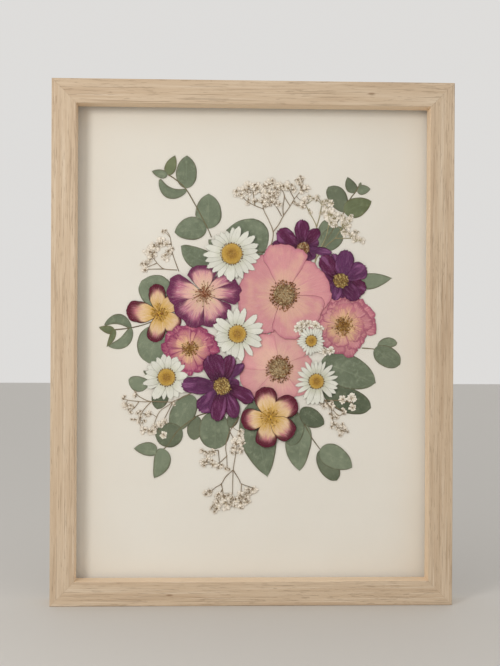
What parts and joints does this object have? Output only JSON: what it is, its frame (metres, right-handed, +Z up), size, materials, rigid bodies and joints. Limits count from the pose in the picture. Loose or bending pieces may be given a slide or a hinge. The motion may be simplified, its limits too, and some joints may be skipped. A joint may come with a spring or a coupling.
{
  "type": "pressed flower frame",
  "caption": "Upright wooden frame with pressed daisies, roses, eucalyptus and gypsophila in layers on cream paper behind a glass pane.",
  "frame": {"origin": "middle of the box around the frame, at its foot", "axes": "+Z up along the frame's height, +X to the right seen from the front, the glass faces -Y"},
  "size_m": [0.33, 0.0332, 0.43],
  "materials": {
    "wood": "matt, pale bleached open grain",
    "glass": "clear, polished",
    "paper": "matt, warm cream",
    "board": "matt hardboard",
    "steel": "satin, zinc plated",
    "leaf": "matt, pressed grey-green leaf",
    "spray": "matt, pressed pale florets on brown stems",
    "petal_white": "matt, slightly translucent white petal",
    "disc": "matt, granular orange-yellow",
    "petal_pink": "matt, veined salmon pink petal",
    "stamen": "matt, granular brown and ochre",
    "petal_purple": "matt, deep violet petal",
    "petal_dusky": "matt, dusky rose petal",
    "petal_magenta": "matt, magenta petal",
    "petal_edged": "matt, pale pink petal with purple edges",
    "petal_cream": "matt, cream petal with burgundy edges"
  },
  "bodies": {
    "root": {"backing_board": "board", "bicolour_left_petals": "petal_cream", "bicolour_left_stamens": "stamen", "bicolour_lower_petals": "petal_cream", "bicolour_lower_stamens": "stamen", "daisy_lower_left_disc": "disc", "daisy_lower_left_petals": "petal_white", "daisy_lower_right_disc": "disc", "daisy_lower_right_petals": "petal_white", "daisy_middle_disc": "disc", "daisy_middle_petals": "petal_white", "daisy_small_disc": "disc", "daisy_small_petals": "petal_white", "daisy_top_disc": "disc", "daisy_top_petals": "petal_white", "dusky_petals": "petal_dusky", "dusky_stamens": "stamen", "edged_petals": "petal_edged", "edged_stamens": "stamen", "eucalyptus_bottom": "leaf", "eucalyptus_bottom_left": "leaf", "eucalyptus_bottom_right": "leaf", "eucalyptus_left": "leaf", "eucalyptus_lower_left": "leaf", "eucalyptus_lower_right": "leaf", "eucalyptus_right": "leaf", "eucalyptus_top": "leaf", "eucalyptus_top_left": "leaf", "eucalyptus_top_right": "leaf", "glass_pane": "glass", "gypsophila_bottom": "spray", "gypsophila_lower_left": "spray", "gypsophila_lower_right": "spray", "gypsophila_top": "spray", "gypsophila_top_right": "spray", "gypsophila_upper_left": "spray", "leaf_right": "leaf", "magenta_petals": "petal_magenta", "magenta_stamens": "stamen", "paper_sheet": "paper", "pink_lower_petals": "petal_pink", "pink_lower_stamens": "stamen", "pink_upper_petals": "petal_pink", "pink_upper_stamens": "stamen", "purple_lower_petals": "petal_purple", "purple_lower_stamens": "stamen", "purple_right_petals": "petal_purple", "purple_right_stamens": "stamen", "purple_upper_petals": "petal_purple", "purple_upper_stamens": "stamen", "rail_bottom": "wood", "rail_left": "wood", "rail_right": "wood", "rail_top": "wood", "sawtooth_hanger": "steel", "tab_bottom": "steel", "tab_left": "steel", "tab_right": "steel", "tab_top": "steel", "white_florets": "spray"}
  },
  "joints": []
}
